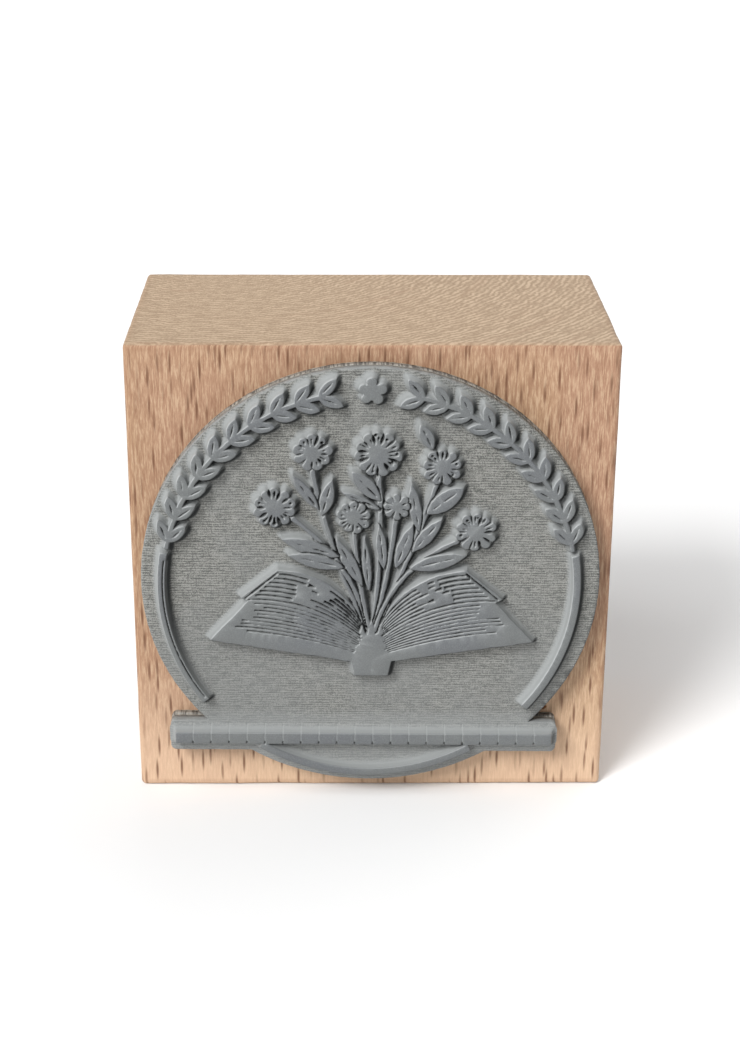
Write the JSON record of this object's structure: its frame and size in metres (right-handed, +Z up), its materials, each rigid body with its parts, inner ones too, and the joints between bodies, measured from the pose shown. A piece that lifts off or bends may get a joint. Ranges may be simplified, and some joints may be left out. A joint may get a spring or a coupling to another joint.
{
  "type": "wood-mounted rubber stamp",
  "caption": "Square beech block with a foam-backed grey rubber die engraved with a bouquet growing out of an open book.",
  "frame": {"origin": "centre of the flat long face that the block stands on", "axes": "+Z up out of the block's upper edge face, -Y out of the engraved die, +X to the right when looking at the die"},
  "size_m": [0.05, 0.0311, 0.05],
  "materials": {
    "beech": "planed and sanded, unvarnished",
    "adhesive": "translucent transfer film",
    "foam": "closed-cell foam, matt",
    "rubber": "laser-engraved grey rubber, matt"
  },
  "bodies": {
    "root": {"wood_block": "beech", "block_adhesive": "adhesive", "foam_cushion": "foam", "die_adhesive": "adhesive", "rubber_die": "rubber"}
  },
  "joints": []
}
